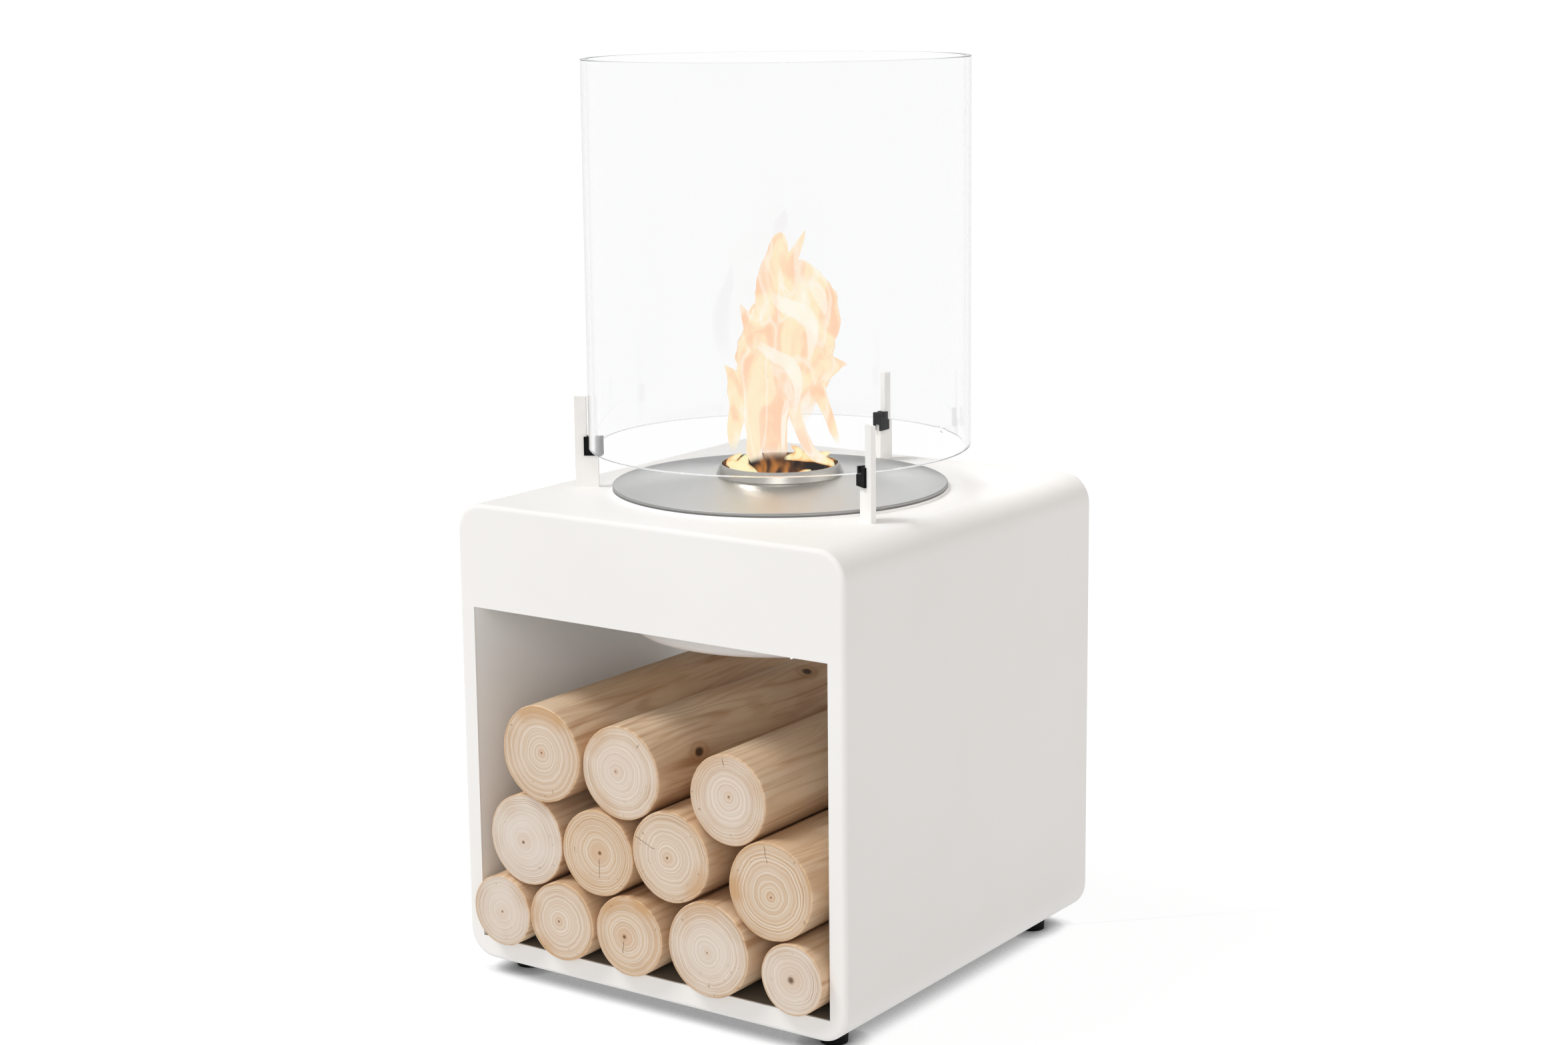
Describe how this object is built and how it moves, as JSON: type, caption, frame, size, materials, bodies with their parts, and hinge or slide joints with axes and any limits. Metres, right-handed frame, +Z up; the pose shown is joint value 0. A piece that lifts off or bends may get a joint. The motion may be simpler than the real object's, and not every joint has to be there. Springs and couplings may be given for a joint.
{
  "type": "free-standing ethanol fireplace",
  "caption": "Free-standing white steel ethanol fireplace with a round stainless burner, a clear glass cylinder on posts, and an open log store stacked with round logs.",
  "frame": {"origin": "on the floor, under the burner's axis and midway between the feet", "axes": "+Z up, +Y from the front of the log store to its rear, +X to the right as seen from the front"},
  "size_m": [0.4, 0.414, 0.7964],
  "materials": {
    "white_coat": "satin powder coat",
    "grey_coat": "satin powder coat",
    "stainless": "turned and brushed",
    "fastener_steel": "zinc plated",
    "rubber": "matte",
    "clear_glass": "clear, polished rims",
    "log_wood": "debarked and sanded, sawn ends"
  },
  "bodies": {
    "cabinet": {"outer_shell": "white_coat", "front_frame": "white_coat", "rear_frame": "white_coat", "floor_liner": "white_coat", "left_liner": "white_coat", "right_liner": "white_coat", "top_stiffener": "fastener_steel", "foot_front_left": "rubber", "foot_front_right": "rubber", "foot_rear_left": "rubber", "foot_rear_right": "rubber", "foot_screws": "fastener_steel", "foot_nuts": "fastener_steel", "burner_tray": "grey_coat", "tray_screws": "fastener_steel", "post_back": "white_coat", "post_front_left": "white_coat", "post_front_right": "white_coat", "saddle_back": "rubber", "saddle_front_left": "rubber", "saddle_front_right": "rubber", "post_screws": "fastener_steel"},
    "burner": {"burner_plate": "stainless", "burner_collar": "stainless", "burner_throat": "stainless", "fuel_reservoir": "stainless"},
    "glass": {"glass_cylinder": "clear_glass"},
    "log_bottom_1": {"log_bottom_1": "log_wood"},
    "log_bottom_2": {"log_bottom_2": "log_wood"},
    "log_bottom_3": {"log_bottom_3": "log_wood"},
    "log_bottom_4": {"log_bottom_4": "log_wood"},
    "log_bottom_5": {"log_bottom_5": "log_wood"},
    "log_middle_1": {"log_middle_1": "log_wood"},
    "log_middle_2": {"log_middle_2": "log_wood"},
    "log_middle_3": {"log_middle_3": "log_wood"},
    "log_middle_4": {"log_middle_4": "log_wood"},
    "log_top_1": {"log_top_1": "log_wood"},
    "log_top_2": {"log_top_2": "log_wood"},
    "log_top_3": {"log_top_3": "log_wood"}
  },
  "joints": [
    {"name": "burner_lift", "type": "slide", "parent": "cabinet", "child": "burner", "axis": [0, 0, 1], "range_m": [0, 0.1]},
    {"name": "glass_lift", "type": "slide", "parent": "cabinet", "child": "glass", "axis": [0, 0, 1], "range_m": [0, 0.1]},
    {"name": "log_bottom_1_slide", "type": "slide", "parent": "cabinet", "child": "log_bottom_1", "axis": [0, -1, 0], "range_m": [0, 0.33]},
    {"name": "log_bottom_2_slide", "type": "slide", "parent": "cabinet", "child": "log_bottom_2", "axis": [0, -1, 0], "range_m": [0, 0.33]},
    {"name": "log_bottom_3_slide", "type": "slide", "parent": "cabinet", "child": "log_bottom_3", "axis": [0, -1, 0], "range_m": [0, 0.33]},
    {"name": "log_bottom_4_slide", "type": "slide", "parent": "cabinet", "child": "log_bottom_4", "axis": [0, -1, 0], "range_m": [0, 0.33]},
    {"name": "log_bottom_5_slide", "type": "slide", "parent": "cabinet", "child": "log_bottom_5", "axis": [0, -1, 0], "range_m": [0, 0.33]},
    {"name": "log_middle_1_slide", "type": "slide", "parent": "cabinet", "child": "log_middle_1", "axis": [0, -1, 0], "range_m": [0, 0.33]},
    {"name": "log_middle_2_slide", "type": "slide", "parent": "cabinet", "child": "log_middle_2", "axis": [0, -1, 0], "range_m": [0, 0.33]},
    {"name": "log_middle_3_slide", "type": "slide", "parent": "cabinet", "child": "log_middle_3", "axis": [0, -1, 0], "range_m": [0, 0.33]},
    {"name": "log_middle_4_slide", "type": "slide", "parent": "cabinet", "child": "log_middle_4", "axis": [0, -1, 0], "range_m": [0, 0.33]},
    {"name": "log_top_1_slide", "type": "slide", "parent": "cabinet", "child": "log_top_1", "axis": [0, -1, 0], "range_m": [0, 0.33]},
    {"name": "log_top_2_slide", "type": "slide", "parent": "cabinet", "child": "log_top_2", "axis": [0, -1, 0], "range_m": [0, 0.33]},
    {"name": "log_top_3_slide", "type": "slide", "parent": "cabinet", "child": "log_top_3", "axis": [0, -1, 0], "range_m": [0, 0.33]}
  ]
}
